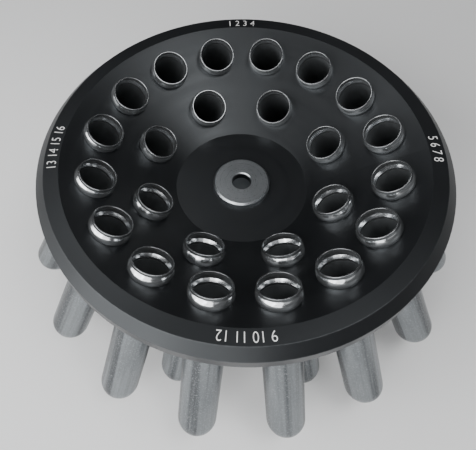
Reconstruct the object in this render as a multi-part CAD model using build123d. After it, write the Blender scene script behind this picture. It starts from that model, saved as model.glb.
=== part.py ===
from build123d import *
import os
from math import cos, radians, sin, tan

# Fixed angle centrifuge rotor, in millimetres. +Z is the spin axis, pointing up. The origin is on that
# axis, on the surface that the rotor stands on when it is off its spindle: the inner sleeves touch it.

# Rotor plate: a turned dish with a flat rim land, a bevel and a short vertical lip. A share is a part of
# the rim radius, so that the flat floor and the two rings of tubes keep their places as the rim changes.
RIM_RADIUS = 105.0
BEVEL = 5.0
LAND_WIDTH = 7.5
LIP_HEIGHT = 7.3
TUBE_ANGLE = 30.0
PLATE_WALL = 9.0
FLOOR_SHARE = 0.3457
FLOOR_THICKNESS = 12.0
BOSS_RADIUS = 24.0
BOSS_DROP = 16.0
ROOT_RADIUS = 2.0
EDGE_BREAK = 0.4

# Tube sleeves: drawn tubes with a round bottom and a hollow rolled bead that sits on the dish
OUTER_COUNT = 16
INNER_COUNT = 8
OUTER_RING_SHARE = 0.7324
INNER_RING_SHARE = 0.4933
SLEEVE_LENGTH = 94.0
SLEEVE_RADIUS = 9.9
SLEEVE_WALL = 0.8
NECK_WALL = 0.7
NECK_HEIGHT = 1.6
BEAD_PROUD = 0.85
BEAD_HEIGHT = 5.1
BEAD_WIDEST = 2.3
BEAD_TUCK = 0.6
GROOVE_DEPTH = 0.8
GROOVE_HEIGHT = 2.6
LEDGE_HEIGHT = 1.0
MOUTH_ROUND = 0.25
SEAT_DEPTH = 0.15
SEAT_CLEARANCE = 0.35
HOLE_CLEARANCE = 0.05

# Drive hub: a flanged steel bush through the plate, held by a washer and a ring nut under the boss
FLANGE_RADIUS = 15.5
FLANGE_HEIGHT = 3.3
FLANGE_CHAMFER = 0.9
BARREL_RADIUS = 12.0
BARREL_CLEARANCE = 0.02
SHOULDER_GAP = 0.5
SOCKET_RADIUS = 8.0
SOCKET_CHAMFER = 0.5
WEB_THICKNESS = 4.2
SCREW_HOLE_RADIUS = 5.0
SCREW_HOLE_CHAMFER = 0.7
THREAD_RADIUS = 11.0
THREAD_RUN_OUT = 2.0
DRIVE_SLOT_WIDTH = 5.0
DRIVE_SLOT_DEPTH = 4.0
WASHER_RADIUS = 19.0
WASHER_THICKNESS = 1.5
NUT_RADIUS = 17.0
NUT_HEIGHT = 8.0
NUT_CLEARANCE = 0.04
NUT_CHAMFER = 0.8
NUT_SLOT_COUNT = 4
NUT_SLOT_WIDTH = 5.0
NUT_SLOT_DEPTH = 2.5

# Sizes worked out from those above
SLOPE = radians(TUBE_ANGLE)
OUTER_RING_RADIUS = RIM_RADIUS * OUTER_RING_SHARE
INNER_RING_RADIUS = RIM_RADIUS * INNER_RING_SHARE
FLOOR_RADIUS = RIM_RADIUS * FLOOR_SHARE
HOLE_RADIUS = SLEEVE_RADIUS + HOLE_CLEARANCE
BEAD_RADIUS = SLEEVE_RADIUS + BEAD_PROUD
BEAD_SEAT_RADIUS = BEAD_RADIUS - BEAD_TUCK
SLEEVE_STAND = BEAD_HEIGHT + NECK_HEIGHT
ROUND_DEPTH = SLEEVE_LENGTH - SLEEVE_STAND - SLEEVE_RADIUS
CREASE_RADIUS = RIM_RADIUS - BEVEL - LAND_WIDTH
INNER_DROP = (CREASE_RADIUS - INNER_RING_RADIUS) * tan(SLOPE)
LAND_Z = SLEEVE_RADIUS + (ROUND_DEPTH + SEAT_DEPTH) * cos(SLOPE) + INNER_DROP
LIP_Z = LAND_Z - BEVEL - LIP_HEIGHT
UNDER_Z = LAND_Z - PLATE_WALL / cos(SLOPE)
FLOOR_Z = LAND_Z - (CREASE_RADIUS - FLOOR_RADIUS) * tan(SLOPE)
CEILING_Z = FLOOR_Z - FLOOR_THICKNESS
BOSS_Z = CEILING_Z - BOSS_DROP
BORE_RADIUS = BARREL_RADIUS + BARREL_CLEARANCE
HUB_TOP_Z = FLOOR_Z + FLANGE_HEIGHT
WEB_Z = HUB_TOP_Z - WEB_THICKNESS
NUT_TOP_Z = BOSS_Z - WASHER_THICKNESS
NUT_FOOT_Z = NUT_TOP_Z - NUT_HEIGHT
HUB_FOOT_Z = NUT_FOOT_Z - THREAD_RUN_OUT


def section(*points):
    """A closed outline of (radius, height) points in the XZ plane."""
    return Plane.XZ * make_face(Polyline(*points, close=True))


def rounded(face, radius, *points):
    """The outline with the corners nearest to the given (radius, height) points filleted."""
    corners = [min(face.vertices(), key=lambda v: (v.X - r) ** 2 + (v.Z - z) ** 2) for r, z in points]
    return fillet(corners, radius)


def sleeve_seat(ring_radius, azimuth):
    """Where one sleeve sits: the seat's centre, with Z out of the sleeve's mouth, square to the dish."""
    r = ring_radius + SEAT_DEPTH * sin(SLOPE)
    z = LAND_Z - (CREASE_RADIUS - ring_radius) * tan(SLOPE) - SEAT_DEPTH * cos(SLOPE)
    return Rot(0, 0, azimuth) * Pos(r, 0, z) * Rot(0, -TUBE_ANGLE, 0)


def sleeve_seats():
    """Every seat, the outer ring first. Each inner sleeve stands between two outer ones."""
    outer = [sleeve_seat(OUTER_RING_RADIUS, 360 / OUTER_COUNT * (i + 0.5)) for i in range(OUTER_COUNT)]
    inner = [sleeve_seat(INNER_RING_RADIUS, 360 / INNER_COUNT * (i + 0.5)) for i in range(INNER_COUNT)]
    return outer + inner


def make_rotor_plate():
    land_edge = (RIM_RADIUS - BEVEL, LAND_Z)
    bevel_foot = (RIM_RADIUS, LAND_Z - BEVEL)
    lip_foot = (RIM_RADIUS, LIP_Z)
    under_edge = (CREASE_RADIUS - (UNDER_Z - LIP_Z) / tan(SLOPE), LIP_Z)
    ceiling_edge = (CREASE_RADIUS - (UNDER_Z - CEILING_Z) / tan(SLOPE), CEILING_Z)
    boss_root = (BOSS_RADIUS, CEILING_Z)
    boss_foot = (BOSS_RADIUS, BOSS_Z)
    face = section(
        (BORE_RADIUS, FLOOR_Z), (FLOOR_RADIUS, FLOOR_Z), (CREASE_RADIUS, LAND_Z), land_edge, bevel_foot,
        lip_foot, under_edge, ceiling_edge, boss_root, boss_foot, (BORE_RADIUS, BOSS_Z),
    )
    face = rounded(face, EDGE_BREAK, land_edge, bevel_foot, lip_foot, boss_foot)
    face = rounded(face, ROOT_RADIUS, ceiling_edge, boss_root)
    plate = revolve(face, Axis.Z)
    seat_cut = Pos(0, 0, BEAD_HEIGHT / 2) * Cylinder(BEAD_SEAT_RADIUS + SEAT_CLEARANCE, BEAD_HEIGHT)
    hole_cut = Cylinder(HOLE_RADIUS, 2 * ROUND_DEPTH)
    return plate - [seat * cut for seat in sleeve_seats() for cut in (seat_cut, hole_cut)]


def make_sleeve():
    """One sleeve, with its seat plane at Z = 0 and its mouth up."""
    bore = SLEEVE_RADIUS - SLEEVE_WALL
    neck_bore = SLEEVE_RADIUS - NECK_WALL
    neck_foot = (SLEEVE_RADIUS, BEAD_HEIGHT)
    bead_edge = (BEAD_RADIUS, BEAD_WIDEST)
    bead_seat = (BEAD_SEAT_RADIUS, 0)
    neck_root = (neck_bore, BEAD_HEIGHT)
    groove_foot = (bore + GROOVE_DEPTH, GROOVE_HEIGHT)
    ledge_foot = (bore, LEDGE_HEIGHT)
    outside = Polyline(bead_seat, (SLEEVE_RADIUS, 0), (SLEEVE_RADIUS, -ROUND_DEPTH), (0, -ROUND_DEPTH),
                       (0, SLEEVE_STAND), (SLEEVE_RADIUS, SLEEVE_STAND), neck_foot)
    outside += ThreePointArc(neck_foot, bead_edge, bead_seat)
    inside = Polyline((0, SLEEVE_STAND), (neck_bore, SLEEVE_STAND), neck_root, groove_foot, ledge_foot,
                      (bore, -ROUND_DEPTH), (0, -ROUND_DEPTH), close=True)
    body = revolve(rounded(Plane.XZ * make_face(outside), SLEEVE_WALL, neck_foot), Axis.Z)
    body += Pos(0, 0, -ROUND_DEPTH) * Sphere(SLEEVE_RADIUS)
    hollow = revolve(Plane.XZ * make_face(inside), Axis.Z) + Pos(0, 0, -ROUND_DEPTH) * Sphere(bore)
    sleeve = body - hollow
    rims = sleeve.edges().filter_by(GeomType.CIRCLE).group_by(Axis.Z)[-1]
    return fillet(rims, MOUTH_ROUND)


def make_hub_bush():
    face = section(
        (SCREW_HOLE_RADIUS, WEB_Z), (SCREW_HOLE_RADIUS, HUB_TOP_Z - SCREW_HOLE_CHAMFER),
        (SCREW_HOLE_RADIUS + SCREW_HOLE_CHAMFER, HUB_TOP_Z), (FLANGE_RADIUS - FLANGE_CHAMFER, HUB_TOP_Z),
        (FLANGE_RADIUS, HUB_TOP_Z - FLANGE_CHAMFER), (FLANGE_RADIUS, FLOOR_Z), (BARREL_RADIUS, FLOOR_Z),
        (BARREL_RADIUS, BOSS_Z + SHOULDER_GAP), (THREAD_RADIUS, BOSS_Z + SHOULDER_GAP),
        (THREAD_RADIUS, HUB_FOOT_Z), (SOCKET_RADIUS + SOCKET_CHAMFER, HUB_FOOT_Z),
        (SOCKET_RADIUS, HUB_FOOT_Z + SOCKET_CHAMFER), (SOCKET_RADIUS, WEB_Z),
    )
    slot = Pos(0, 0, HUB_FOOT_Z) * Box(2 * BARREL_RADIUS, DRIVE_SLOT_WIDTH, 2 * DRIVE_SLOT_DEPTH)
    return revolve(face, Axis.Z) - slot


def make_hub_washer():
    ring = Circle(WASHER_RADIUS) - Circle(THREAD_RADIUS + NUT_CLEARANCE)
    return Pos(0, 0, NUT_TOP_Z) * extrude(ring, WASHER_THICKNESS)


def make_hub_nut():
    bore = THREAD_RADIUS + NUT_CLEARANCE
    face = section(
        (bore, NUT_FOOT_Z), (NUT_RADIUS - NUT_CHAMFER, NUT_FOOT_Z), (NUT_RADIUS, NUT_FOOT_Z + NUT_CHAMFER),
        (NUT_RADIUS, NUT_TOP_Z - NUT_CHAMFER), (NUT_RADIUS - NUT_CHAMFER, NUT_TOP_Z), (bore, NUT_TOP_Z),
    )
    slot = Pos(0, 0, NUT_FOOT_Z + NUT_HEIGHT / 2) * Box(2 * NUT_SLOT_DEPTH, NUT_SLOT_WIDTH, NUT_HEIGHT)
    return revolve(face, Axis.Z) - PolarLocations(NUT_RADIUS, NUT_SLOT_COUNT) * slot


def save(shape, node):
    shape.label = node
    export_step(shape, f"parts/{node}.step")


os.makedirs("parts", exist_ok=True)
save(make_rotor_plate(), "rotor_plate")
save(make_hub_bush(), "hub_bush")
save(make_hub_washer(), "hub_washer")
save(make_hub_nut(), "hub_nut")
sleeve = make_sleeve()
for number, seat in enumerate(sleeve_seats(), start=1):
    save(seat * sleeve, f"tube_sleeve_{number:02d}")
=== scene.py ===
from math import cos, pi, radians, sin, tan

import bpy
from mathutils import Matrix, Vector


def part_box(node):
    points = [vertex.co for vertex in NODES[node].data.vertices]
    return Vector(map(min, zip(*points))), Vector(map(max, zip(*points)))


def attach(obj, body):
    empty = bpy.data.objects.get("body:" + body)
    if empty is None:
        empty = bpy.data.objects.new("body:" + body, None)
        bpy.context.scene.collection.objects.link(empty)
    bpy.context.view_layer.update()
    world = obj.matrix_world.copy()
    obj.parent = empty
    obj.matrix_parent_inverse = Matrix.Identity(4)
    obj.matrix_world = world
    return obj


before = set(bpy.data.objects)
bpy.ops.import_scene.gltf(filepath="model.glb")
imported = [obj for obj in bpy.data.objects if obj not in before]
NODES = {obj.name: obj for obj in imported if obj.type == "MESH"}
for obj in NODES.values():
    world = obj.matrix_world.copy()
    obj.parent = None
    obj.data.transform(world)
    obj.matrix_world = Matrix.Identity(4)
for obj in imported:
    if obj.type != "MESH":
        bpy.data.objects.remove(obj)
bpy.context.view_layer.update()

MM = 0.001

# Sizes of the rotor that the finishes and the numerals follow, in metres
RIM_RADIUS, _, LAND_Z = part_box("rotor_plate")[1]
TUBE_ANGLE = radians(30.0)
BEVEL = 5.0 * MM
LAND_WIDTH = 7.5 * MM
LIP_HEIGHT = 7.3 * MM
OUTER_RING_SHARE = 0.7324
INNER_RING_SHARE = 0.4933
OUTER_COUNT = 16
INNER_COUNT = 8
SLEEVE_RADIUS = 9.9 * MM
SCREW_HOLE_RADIUS = 5.0 * MM

# Heights along a sleeve, from where its axis meets the cone: up to the mouth, and down to the middle of the
# round bottom
MOUTH_HEIGHT = 6.55 * MM
ROUND_DEPTH = 77.5 * MM

# What follows from those sizes
LAND_EDGE_RADIUS = RIM_RADIUS - BEVEL
CREASE_RADIUS = LAND_EDGE_RADIUS - LAND_WIDTH
BEVEL_Z = LAND_Z - BEVEL
LIP_Z = BEVEL_Z - LIP_HEIGHT
OUTER_RING_RADIUS = RIM_RADIUS * OUTER_RING_SHARE
INNER_RING_RADIUS = RIM_RADIUS * INNER_RING_SHARE


# Node tree helpers
class Finish:
    """A material under construction: a Principled shader, and short calls for the nodes that feed it."""

    def __init__(self, name):
        self.material = bpy.data.materials.new(name)
        self.material.use_nodes = True
        self.tree = self.material.node_tree
        self.tree.nodes.clear()
        self.shader = self.add("ShaderNodeBsdfPrincipled")
        self.join(self.shader.outputs["BSDF"], self.add("ShaderNodeOutputMaterial").inputs["Surface"])
        self.place = self.add("ShaderNodeTexCoord").outputs["Object"]

    def add(self, kind, **settings):
        node = self.tree.nodes.new(kind)
        for key, value in settings.items():
            setattr(node, key, value)
        return node

    def join(self, source, socket):
        self.tree.links.new(source, socket)

    def feed(self, socket, value):
        if isinstance(value, bpy.types.NodeSocket):
            self.join(value, socket)
        else:
            socket.default_value = value

    def set(self, **values):
        """Values of the shader's sockets, with _ for a space in the name."""
        for key, value in values.items():
            self.feed(self.shader.inputs[key.replace("_", " ")], value)

    def math(self, operation, first, second=0.0):
        node = self.add("ShaderNodeMath", operation=operation)
        for socket, value in zip(node.inputs, (first, second)):
            self.feed(socket, value)
        return node.outputs[0]

    def split(self, vector):
        node = self.add("ShaderNodeSeparateXYZ")
        self.join(vector, node.inputs[0])
        return node.outputs

    def pack(self, x, y, z):
        node = self.add("ShaderNodeCombineXYZ")
        for socket, value in zip(node.inputs, (x, y, z)):
            self.feed(socket, value)
        return node.outputs[0]

    def radius(self, x, y):
        square = self.math("ADD", self.math("MULTIPLY", x, x), self.math("MULTIPLY", y, y))
        return self.math("SQRT", square)

    def noise(self, vector, scale, detail, roughness):
        node = self.add("ShaderNodeTexNoise")
        self.join(vector, node.inputs["Vector"])
        node.inputs["Scale"].default_value = scale
        node.inputs["Detail"].default_value = detail
        node.inputs["Roughness"].default_value = roughness
        return node.outputs[0]

    def lines(self, value, per_metre, detail):
        """Noise that changes along one length only, for turned marks."""
        node = self.add("ShaderNodeTexNoise", noise_dimensions="1D")
        self.feed(node.inputs["W"], value)
        node.inputs["Scale"].default_value = per_metre
        node.inputs["Detail"].default_value = detail
        return node.outputs[0]

    def span(self, value, low, high, out_low=0.0, out_high=1.0):
        """A smooth change from out_low to out_high, as value goes from low to high."""
        node = self.add("ShaderNodeMapRange", interpolation_type="SMOOTHSTEP")
        for socket, number in zip(node.inputs, (value, low, high, out_low, out_high)):
            self.feed(socket, number)
        return node.outputs[0]

    def near(self, value, centre, reach):
        """1 at centre, falling to 0 at reach on either side."""
        distance = self.math("ABSOLUTE", self.math("SUBTRACT", value, centre))
        return self.span(distance, 0.0, reach, 1.0, 0.0)

    def mix(self, factor, first, second):
        """A value that is first where factor is 0, and second where it is 1."""
        node = self.add("ShaderNodeMix")
        for socket, value in ((node.inputs[0], factor), (node.inputs[2], first), (node.inputs[3], second)):
            self.feed(socket, value)
        return node.outputs[0]

    def blend(self, factor, first, second):
        """A colour that is first where factor is 0, and second where it is 1."""
        node = self.add("ShaderNodeMix", data_type="RGBA")
        self.feed(node.inputs[0], factor)
        for socket, colour in ((node.inputs[6], first), (node.inputs[7], second)):
            self.feed(socket, colour if isinstance(colour, bpy.types.NodeSocket) else (*colour, 1.0))
        return node.outputs[2]

    def bump(self, height, distance, strength, normal=None):
        node = self.add("ShaderNodeBump")
        node.inputs["Strength"].default_value = strength
        node.inputs["Distance"].default_value = distance
        self.join(height, node.inputs["Height"])
        if normal is not None:
            self.join(normal, node.inputs["Normal"])
        return node.outputs[0]


def anodised_plate():
    """Black anodised aluminium with fine turned rings, slight clouding, and outer edges painted lighter,
    partly as wear and partly as a painted highlight.
    """
    f = Finish("plate_anodised")
    x, y, z = f.split(f.place)
    r = f.radius(x, y)
    cloud = f.noise(f.place, scale=26.0, detail=4.0, roughness=0.6)
    grain = f.noise(f.place, scale=2600.0, detail=2.0, roughness=0.6)
    rings = f.lines(r, per_metre=1500.0, detail=3.0)
    bands = f.lines(r, per_metre=210.0, detail=2.0)

    dye_dark = (0.0030, 0.0032, 0.0038)
    dye_light = (0.0050, 0.0053, 0.0062)
    # Lighter colour for the outer edges: partly bare metal showing through wear, partly a painted highlight
    # along the edges
    bare_metal_and_highlight_colour = (0.10, 0.104, 0.11)
    wear_and_highlight_share = 0.22
    dye = f.blend(f.span(cloud, 0.35, 0.65), dye_dark, dye_light)
    f.set(Base_Color=f.blend(f.math("MULTIPLY", worn_edges(f, r, z), wear_and_highlight_share), dye, bare_metal_and_highlight_colour))

    rough = f.math("ADD", f.span(bands, 0.3, 0.7, 0.36, 0.40), f.span(grain, 0.3, 0.7, -0.02, 0.03))
    f.set(Roughness=rough, Specular_IOR_Level=0.58, Specular_Tint=(0.90, 0.96, 1.0, 1.0))
    turned = f.bump(rings, distance=0.012 * MM, strength=0.35)
    f.set(Normal=f.bump(grain, distance=0.010 * MM, strength=0.3, normal=turned))
    return f.material


def worn_edges(f, r, z):
    """Where the plate's edges are painted lighter, partly as wear from handling and partly as a painted
    highlight: the land's outer edge and the feet of the bevel and of the lip.
    """
    edge_width = 0.45 * MM
    foot_width = 0.4 * MM
    land_edge = f.near(r, LAND_EDGE_RADIUS, edge_width)
    on_rim = f.span(r, RIM_RADIUS - 0.5 * MM, RIM_RADIUS - 0.1 * MM)
    bevel_foot = f.math("MULTIPLY", f.near(z, BEVEL_Z, edge_width), on_rim)
    lip_foot = f.math("MULTIPLY", f.near(z, LIP_Z, foot_width), on_rim)
    on_land = f.span(z, LAND_Z - 0.6 * MM, LAND_Z - 0.3 * MM)
    land_edge = f.math("MULTIPLY", land_edge, on_land)
    wear_and_highlight_mask = f.math("MAXIMUM", land_edge, f.math("MAXIMUM", bevel_foot, lip_foot))
    patches = f.noise(f.place, scale=420.0, detail=3.0, roughness=0.6)
    return f.math("MULTIPLY", wear_and_highlight_mask, f.span(patches, 0.38, 0.62, 0.35, 1.0))


def sleeve_frame(f, count, ring_radius):
    """Folds every sleeve of a ring onto one. Gives a number for the sleeve, and the place in its own frame,
    whose third axis is the sleeve's and starts at the cone."""
    x, y, _ = f.split(f.place)
    step = 2 * pi / count
    index = f.math("FLOOR", f.math("DIVIDE", f.math("ARCTAN2", y, x), step))
    azimuth = f.math("MULTIPLY", f.math("ADD", index, 0.5), step)
    folded = f.add("ShaderNodeVectorRotate", rotation_type="Z_AXIS")
    f.join(f.place, folded.inputs["Vector"])
    f.join(f.math("MULTIPLY", azimuth, -1.0), folded.inputs["Angle"])
    seat_z = LAND_Z - (CREASE_RADIUS - ring_radius) * tan(TUBE_ANGLE)
    own = f.add("ShaderNodeMapping", vector_type="TEXTURE")
    f.join(folded.outputs[0], own.inputs["Vector"])
    own.inputs["Location"].default_value = (ring_radius, 0.0, seat_z)
    own.inputs["Rotation"].default_value = (0.0, -TUBE_ANGLE, 0.0)
    return index, own.outputs[0]


def sleeve_steel(name, count, ring_radius):
    """Drawn stainless sleeve, with marks that run along each tube. The bead and the neck are polished, with
    a darker edge at the mouth. The tube below the cone is satin and speckled, and plain inside."""
    f = Finish(name)
    index, own_place = sleeve_frame(f, count, ring_radius)
    u, v, w = f.split(own_place)
    shift_per_tube = 0.37
    shift = f.math("MULTIPLY", index, shift_per_tube)

    def drawn_noise(across, along, detail, roughness):
        """Noise that differs from tube to tube, with a scale across the tube and another along it."""
        shifted = f.math("ADD", f.math("MULTIPLY", u, across), shift)
        stretched = f.pack(shifted, f.math("MULTIPLY", v, across), f.math("MULTIPLY", w, along))
        return f.noise(stretched, 1.0, detail, roughness)

    drawn = drawn_noise(across=900.0, along=26.0, detail=3.0, roughness=0.6)
    cloud = drawn_noise(across=70.0, along=22.0, detail=3.0, roughness=0.5)
    bands = drawn_noise(across=210.0, along=5.0, detail=2.0, roughness=0.5)
    grain = f.noise(f.place, scale=1350.0, detail=2.0, roughness=0.7)
    turned = f.lines(w, per_metre=2600.0, detail=2.0)

    r = f.radius(u, v)
    from_round = f.radius(r, f.math("MINIMUM", f.math("ADD", w, ROUND_DEPTH), 0.0))
    inside = f.span(from_round, SLEEVE_RADIUS - 0.45 * MM, SLEEVE_RADIUS - 0.25 * MM, 1.0, 0.0)
    top = f.span(w, -1.0 * MM, 0.2 * MM)
    below = f.math("SUBTRACT", 1.0, top)
    mouth_edge_strength = 0.75
    mouth_edge = f.span(w, MOUTH_HEIGHT - 0.4 * MM, MOUTH_HEIGHT - 0.2 * MM)
    mouth_edge = f.math("MULTIPLY", mouth_edge, mouth_edge_strength)

    satin_dark = (0.182, 0.197, 0.207)
    satin_light = (0.262, 0.280, 0.291)
    band_colour = (0.085, 0.090, 0.095)
    drawn_colour = (0.15, 0.158, 0.163)
    speck_colour = (0.40, 0.425, 0.44)
    inside_colour = (0.27, 0.285, 0.295)
    satin = f.blend(f.span(cloud, 0.3, 0.7), satin_dark, satin_light)
    satin = f.blend(f.span(bands, 0.42, 0.62), satin, band_colour)
    satin = f.blend(f.span(drawn, 0.35, 0.7, 0.0, 0.35), satin, drawn_colour)
    satin = f.blend(f.span(grain, 0.52, 0.70, 0.0, 0.5), satin, speck_colour)
    satin = f.blend(inside, satin, inside_colour)

    polished_dark = (0.64, 0.66, 0.675)
    polished_light = (0.72, 0.74, 0.755)
    mouth_edge_colour = (0.16, 0.166, 0.172)
    polished = f.blend(f.span(cloud, 0.3, 0.7), polished_dark, polished_light)
    polished = f.blend(mouth_edge, polished, mouth_edge_colour)
    f.set(Base_Color=f.blend(top, satin, polished), Metallic=f.span(top, 0.0, 1.0, 1.0, 0.95))

    inside_rougher = 0.26
    mouth_edge_rougher = 0.12
    rough_satin = f.math("ADD", f.span(cloud, 0.3, 0.7, 0.27, 0.35), f.span(drawn, 0.3, 0.7, -0.03, 0.04))
    rough_below = f.math("ADD", rough_satin, f.math("MULTIPLY", inside, inside_rougher))
    rough_polished = f.span(turned, 0.3, 0.7, 0.13, 0.20)
    rough_top = f.math("ADD", rough_polished, f.math("MULTIPLY", mouth_edge, mouth_edge_rougher))
    f.set(Roughness=f.mix(top, rough_below, rough_top))

    normal = f.bump(f.math("MULTIPLY", grain, below), distance=0.09 * MM, strength=0.7)
    normal = f.bump(f.math("MULTIPLY", drawn, below), distance=0.03 * MM, strength=0.35, normal=normal)
    normal = f.bump(f.math("MULTIPLY", turned, top), distance=0.008 * MM, strength=0.4, normal=normal)
    f.set(Normal=normal)
    return f.material


def turned_steel(name, dark, light, rough_low, rough_high):
    """Turned steel: fine rings round the axis, slight clouding, and painted shade that darkens the screw
    hole's wall.
    """
    f = Finish(name)
    x, y, _ = f.split(f.place)
    r = f.radius(x, y)
    rings = f.lines(r, per_metre=1900.0, detail=3.0)
    bands = f.lines(r, per_metre=330.0, detail=1.0)
    cloud = f.noise(f.place, scale=90.0, detail=3.0, roughness=0.5)
    grain = f.noise(f.place, scale=3000.0, detail=2.0, roughness=0.5)

    # Painted shade: the wall of the screw hole is darkened
    hole_shade_colour = (0.07, 0.072, 0.075)
    bands_share = 0.1
    cloud_share = 0.9
    mixed = f.math("ADD", f.math("MULTIPLY", bands, bands_share), f.math("MULTIPLY", cloud, cloud_share))
    steel = f.blend(f.span(mixed, 0.35, 0.65), dark, light)
    hole_shade_mask = f.span(r, SCREW_HOLE_RADIUS + 0.1 * MM, SCREW_HOLE_RADIUS + 0.4 * MM, 1.0, 0.0)
    f.set(Base_Color=f.blend(hole_shade_mask, steel, hole_shade_colour), Metallic=1.0)

    ringed = f.span(rings, 0.3, 0.7, rough_low, rough_high)
    rough = f.math("ADD", ringed, f.span(grain, 0.3, 0.7, -0.03, 0.03))
    f.set(Roughness=rough, Normal=f.bump(rings, distance=0.004 * MM, strength=0.3))
    return f.material


def white_ink():
    """Screen-printed white ink, slightly uneven."""
    f = Finish("ink_white")
    cloud = f.noise(f.place, scale=900.0, detail=3.0, roughness=0.6)
    ink_dark = (0.80, 0.80, 0.80)
    ink_light = (0.90, 0.90, 0.89)
    f.set(Base_Color=f.blend(f.span(cloud, 0.3, 0.7), ink_dark, ink_light))
    f.set(Roughness=f.span(cloud, 0.3, 0.7, 0.5, 0.62))
    f.set(Normal=f.bump(cloud, distance=0.01 * MM, strength=0.4))
    return f.material


def pale_floor():
    f = Finish("floor_pale")
    cloud = f.noise(f.place, scale=6.0, detail=3.0, roughness=0.5)
    floor_dark = (0.88, 0.885, 0.89)
    floor_light = (0.90, 0.90, 0.90)
    f.set(Base_Color=f.blend(cloud, floor_dark, floor_light), Roughness=0.7)
    return f.material


def dress(obj, material):
    obj.data.materials.clear()
    obj.data.materials.append(material)


# Finishes of the CAD nodes
outer_steel = sleeve_steel("sleeve_outer", OUTER_COUNT, OUTER_RING_RADIUS)
inner_steel = sleeve_steel("sleeve_inner", INNER_COUNT, INNER_RING_RADIUS)
plate_black = anodised_plate()
hub_steel = turned_steel("hub_steel", (0.46, 0.485, 0.505), (0.52, 0.545, 0.565), 0.29, 0.32)
fastener_steel = turned_steel("fastener_steel", (0.26, 0.27, 0.28), (0.36, 0.37, 0.38), 0.34, 0.46)
dress(NODES["rotor_plate"], plate_black)
dress(NODES["hub_bush"], hub_steel)
dress(NODES["hub_washer"], fastener_steel)
dress(NODES["hub_nut"], fastener_steel)
for number in range(1, OUTER_COUNT + INNER_COUNT + 1):
    dress(NODES[f"tube_sleeve_{number:02d}"], outer_steel if number <= OUTER_COUNT else inner_steel)


# Printed place numbers on the rim land, four to each quarter of the outer ring
NUMERALS_IN_GROUP = 4
NUMERAL_HEIGHT = 4.9 * MM
NUMERAL_RADIUS = LAND_EDGE_RADIUS - LAND_WIDTH / 2
NUMERAL_SQUEEZE = 0.86
STROKE_THINNING = 0.07 * MM
INK_HEIGHT = 0.02 * MM
FIGURE_SHARE = 0.72  # the height of a figure, as a share of the font's size


def numerals(first, azimuth, ink):
    """Numbers from first on, bent round the land with their tops outward, as a thin layer of ink."""
    last = first + NUMERALS_IN_GROUP - 1
    curve = bpy.data.curves.new("numerals", "FONT")
    curve.body = " ".join(str(number) for number in range(first, last + 1))
    curve.align_x = "CENTER"
    curve.size = NUMERAL_HEIGHT / FIGURE_SHARE
    curve.resolution_u = 6
    curve.offset = -STROKE_THINNING
    draft = bpy.data.objects.new("numerals_draft", curve)
    bpy.context.scene.collection.objects.link(draft)
    bpy.context.view_layer.update()
    graph = bpy.context.evaluated_depsgraph_get()
    mesh = bpy.data.meshes.new_from_object(draft.evaluated_get(graph))
    bpy.data.objects.remove(draft)
    for vertex in mesh.vertices:
        r = NUMERAL_RADIUS - NUMERAL_HEIGHT / 2 + vertex.co.y
        turn = azimuth - vertex.co.x * NUMERAL_SQUEEZE / NUMERAL_RADIUS
        vertex.co = (r * cos(turn), r * sin(turn), LAND_Z + INK_HEIGHT)
    mesh.update()
    piece = bpy.data.objects.new(f"place_numbers_{first}_{last}", mesh)
    bpy.context.scene.collection.objects.link(piece)
    dress(piece, ink)
    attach(piece, "root")


ink = white_ink()
for first, degrees in ((1, 90.0), (5, 0.0), (9, -90.0), (13, 180.0)):
    numerals(first, radians(degrees), ink)


# Floor, lights and camera
FLOOR_REACH = 3.0
LIGHT_DISTANCE = 1.0
LIGHT_AIM = Vector((0.0, 0.0, 0.08))

# Name, azimuth and elevation in degrees, width and height in metres, and watts. Azimuth runs anticlockwise
# from +X, so the front is at 270.
SOFTBOXES = (
    ("front_low", 257.0, 14.0, 0.70, 0.36, 2.4),
    ("key_low", 222.0, 14.5, 0.70, 0.40, 4.5),
    ("left_low", 192.0, 15.0, 0.56, 0.40, 2.2),
    ("key_left", 216.0, 38.0, 0.92, 0.42, 5.2),
    ("key_front", 258.0, 38.0, 0.70, 0.42, 2.6),
    ("key_right", 316.0, 40.0, 0.80, 0.30, 0.4),
    ("overhead", 288.0, 72.0, 0.80, 0.36, 2.15),
    ("top_left", 130.0, 62.0, 0.34, 0.24, 1.0),
    ("back_right", 62.0, 20.0, 0.50, 0.32, 0.2),
    ("right", 345.0, 66.0, 0.42, 0.34, 2.1),
)
SKY_COLOUR = (0.93, 0.96, 1.0, 1.0)
SKY_STRENGTH = 0.075


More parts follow.
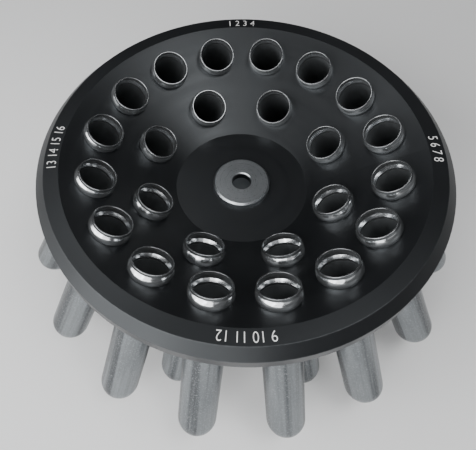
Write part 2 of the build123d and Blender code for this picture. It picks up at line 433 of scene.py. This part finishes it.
def floor():
    corners = [(-FLOOR_REACH, -FLOOR_REACH, 0), (FLOOR_REACH, -FLOOR_REACH, 0),
               (FLOOR_REACH, FLOOR_REACH, 0), (-FLOOR_REACH, FLOOR_REACH, 0)]
    mesh = bpy.data.meshes.new("floor")
    mesh.from_pydata(corners, [], [(0, 1, 2, 3)])
    piece = bpy.data.objects.new("floor", mesh)
    bpy.context.scene.collection.objects.link(piece)
    dress(piece, pale_floor())


def softbox(name, azimuth, elevation, width, height, watts):
    """A rectangle of light that faces the rotor."""
    light = bpy.data.lights.new(name, "AREA")
    light.shape = "RECTANGLE"
    light.size = width
    light.size_y = height
    light.energy = watts
    lamp = bpy.data.objects.new(name, light)
    bpy.context.scene.collection.objects.link(lamp)
    around, up = radians(azimuth), radians(elevation)
    direction = Vector((cos(around) * cos(up), sin(around) * cos(up), sin(up)))
    lamp.location = LIGHT_AIM + direction * LIGHT_DISTANCE
    lamp.rotation_euler = (LIGHT_AIM - lamp.location).to_track_quat("-Z", "Y").to_euler()


def sky():
    world = bpy.data.worlds.new("studio")
    world.use_nodes = True
    background = world.node_tree.nodes["Background"]
    background.inputs["Color"].default_value = SKY_COLOUR
    background.inputs["Strength"].default_value = SKY_STRENGTH
    bpy.context.scene.world = world


def camera():
    """The photo's camera, solved from the rim, the mouths of the sleeves and their bottoms."""
    position = Vector((-8.60, -155.76, 296.345)) * MM
    target = Vector((-14.71, -32.34, 100.565)) * MM
    roll = radians(2.033)
    data = bpy.data.cameras.new("camera")
    data.sensor_fit = "HORIZONTAL"
    data.sensor_width = 36.0
    data.lens = 37.297
    data.shift_x = 0.0528
    data.shift_y = -0.0484
    data.clip_start = 0.01
    view = bpy.data.objects.new("camera", data)
    bpy.context.scene.collection.objects.link(view)
    level = (target - position).to_track_quat("-Z", "Y").to_matrix().to_4x4()
    view.matrix_world = Matrix.Translation(position) @ level @ Matrix.Rotation(-roll, 4, "Z")
    bpy.context.scene.camera = view


floor()
for settings in SOFTBOXES:
    softbox(*settings)
sky()
camera()
